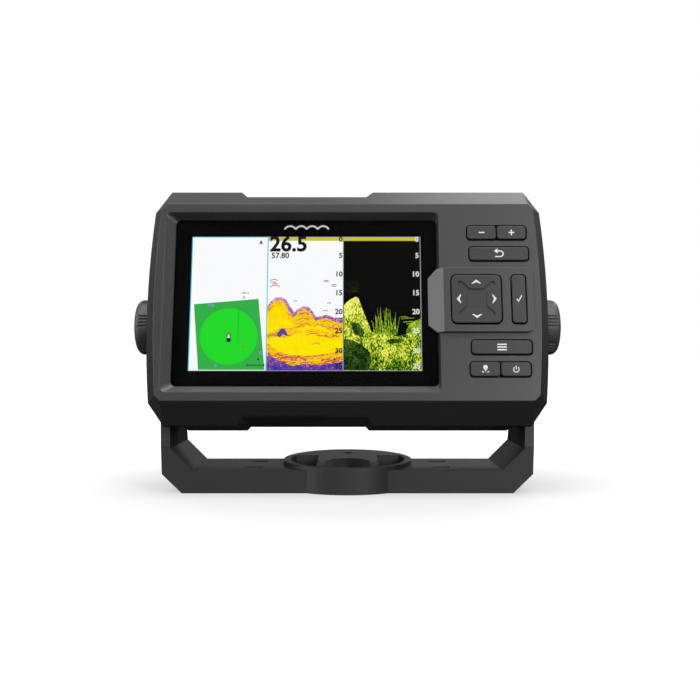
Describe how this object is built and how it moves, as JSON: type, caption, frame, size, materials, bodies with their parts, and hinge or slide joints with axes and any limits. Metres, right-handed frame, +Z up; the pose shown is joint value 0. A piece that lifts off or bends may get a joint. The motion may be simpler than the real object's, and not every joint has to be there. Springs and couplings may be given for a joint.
{
  "type": "marine chartplotter",
  "caption": "Bail-mounted marine chartplotter with a sunken screen, side keypad, rocking pad, rear sockets and tilt clamp knobs.",
  "frame": {"origin": "centre of the bracket's round foot, on its mounting face", "axes": "+X to the right of somebody facing the screen, +Y away from them, +Z up from the mounting face"},
  "size_m": [0.2076, 0.0732, 0.1438],
  "materials": {
    "bracket": "fine moulded texture",
    "front_shell": "satin",
    "rear_shell": "fine moulded texture",
    "seal": "matt",
    "steel": "plain",
    "tape": "matt",
    "window": "polished",
    "ink": "printed",
    "screen": "lit",
    "backlight": "satin",
    "pressed_steel": "pressed",
    "flex": "film",
    "board": "solder mask",
    "ferrite": "matt",
    "ceramic": "matt",
    "capacitor": "sleeved",
    "beeper_case": "matt",
    "socket_shell": "satin",
    "pins": "gold plated",
    "nuts": "nickel plated",
    "membrane": "matt",
    "mat": "matt",
    "keys": "satin",
    "bead": "smooth",
    "brass": "turned",
    "friction_rubber": "matt",
    "knobs": "satin"
  },
  "bodies": {
    "bail": {"bail_bracket": "bracket"},
    "display": {"front_housing": "front_shell", "rear_housing": "rear_shell", "housing_seal": "seal", "housing_screws": "steel", "window_tape": "tape", "display_window": "window", "window_mask": "ink", "lcd_panel": "screen", "lcd_backlight": "backlight", "lcd_frame": "pressed_steel", "lcd_flex": "flex", "frame_screws": "steel", "board_screws": "steel", "keypad_screws": "steel", "main_board": "board", "shield_can": "pressed_steel", "sonar_transformer": "ferrite", "gps_antenna": "ceramic", "board_capacitors": "capacitor", "beeper": "beeper_case", "power_socket": "socket_shell", "transducer_socket": "socket_shell", "power_pins": "pins", "transducer_pins": "pins", "socket_seals": "seal", "socket_nuts": "nuts", "vent_membrane": "membrane", "keypad_board": "board", "key_domes": "steel", "keypad_mat": "mat", "pivot_insert_left": "brass", "pivot_insert_right": "brass", "friction_washer_left": "friction_rubber", "friction_washer_right": "friction_rubber"},
    "zoom_out_key": {"zoom_out_key": "keys"},
    "zoom_in_key": {"zoom_in_key": "keys"},
    "back_key": {"back_key": "keys"},
    "select_key": {"select_key": "keys"},
    "menu_key": {"menu_key": "keys"},
    "waypoint_key": {"waypoint_key": "keys"},
    "power_key": {"power_key": "keys"},
    "pad_bead": {"pad_bead": "bead"},
    "pad_key": {"pad_key": "keys"},
    "clamp_left": {"knob_washer_left": "steel"},
    "knob_left": {"knob_left": "knobs", "knob_stud_left": "steel"},
    "clamp_right": {"knob_washer_right": "steel"},
    "knob_right": {"knob_right": "knobs", "knob_stud_right": "steel"}
  },
  "joints": [
    {"name": "display_tilt", "type": "hinge", "parent": "bail", "child": "display", "pos_m": [0, -0.0025, 0.0784], "axis": [-1, 0, 0], "range_deg": [-5, 40]},
    {"name": "zoom_out_press", "type": "slide", "parent": "display", "child": "zoom_out_key", "axis": [0, 0.9781, -0.2079], "range_m": [0, 0.0006], "stiffness_N_per_m": 800, "springref_m": -0.0006},
    {"name": "zoom_in_press", "type": "slide", "parent": "display", "child": "zoom_in_key", "axis": [0, 0.9781, -0.2079], "range_m": [0, 0.0006], "stiffness_N_per_m": 800, "springref_m": -0.0006},
    {"name": "back_press", "type": "slide", "parent": "display", "child": "back_key", "axis": [0, 0.9781, -0.2079], "range_m": [0, 0.0006], "stiffness_N_per_m": 800, "springref_m": -0.0006},
    {"name": "select_press", "type": "slide", "parent": "display", "child": "select_key", "axis": [0, 0.9781, -0.2079], "range_m": [0, 0.0006], "stiffness_N_per_m": 800, "springref_m": -0.0006},
    {"name": "menu_press", "type": "slide", "parent": "display", "child": "menu_key", "axis": [0, 0.9781, -0.2079], "range_m": [0, 0.0006], "stiffness_N_per_m": 800, "springref_m": -0.0006},
    {"name": "waypoint_press", "type": "slide", "parent": "display", "child": "waypoint_key", "axis": [0, 0.9781, -0.2079], "range_m": [0, 0.0006], "stiffness_N_per_m": 800, "springref_m": -0.0006},
    {"name": "power_press", "type": "slide", "parent": "display", "child": "power_key", "axis": [0, 0.9781, -0.2079], "range_m": [0, 0.0006], "stiffness_N_per_m": 800, "springref_m": -0.0006},
    {"name": "pad_rock_up_down", "type": "hinge", "parent": "display", "child": "pad_bead", "pos_m": [0.05945, -0.02821, 0.08949], "axis": [1, 0, 0], "range_deg": [-2.1, 2.1], "stiffness_Nm_per_rad": 0.25},
    {"name": "pad_rock_left_right", "type": "hinge", "parent": "pad_bead", "child": "pad_key", "pos_m": [0.05945, -0.02821, 0.08949], "axis": [0, 0.2079, 0.9781], "range_deg": [-2.1, 2.1], "stiffness_Nm_per_rad": 0.25},
    {"name": "knob_left_travel", "type": "slide", "parent": "display", "child": "clamp_left", "axis": [-1, 0, 0], "range_m": [0, 0.0038]},
    {"name": "knob_left_turn", "type": "hinge", "parent": "clamp_left", "child": "knob_left", "pos_m": [-0.0975, -0.0025, 0.0784], "axis": [-1, 0, 0], "range_deg": [0, 1080]},
    {"name": "knob_right_travel", "type": "slide", "parent": "display", "child": "clamp_right", "axis": [1, 0, 0], "range_m": [0, 0.0038]},
    {"name": "knob_right_turn", "type": "hinge", "parent": "clamp_right", "child": "knob_right", "pos_m": [0.0975, -0.0025, 0.0784], "axis": [1, 0, 0], "range_deg": [0, 1080]}
  ],
  "couplings": [
    {"joint": "knob_left_travel", "follows": "knob_left_turn", "m_per_rad": 0.00019894},
    {"joint": "knob_right_travel", "follows": "knob_right_turn", "m_per_rad": 0.00019894}
  ]
}
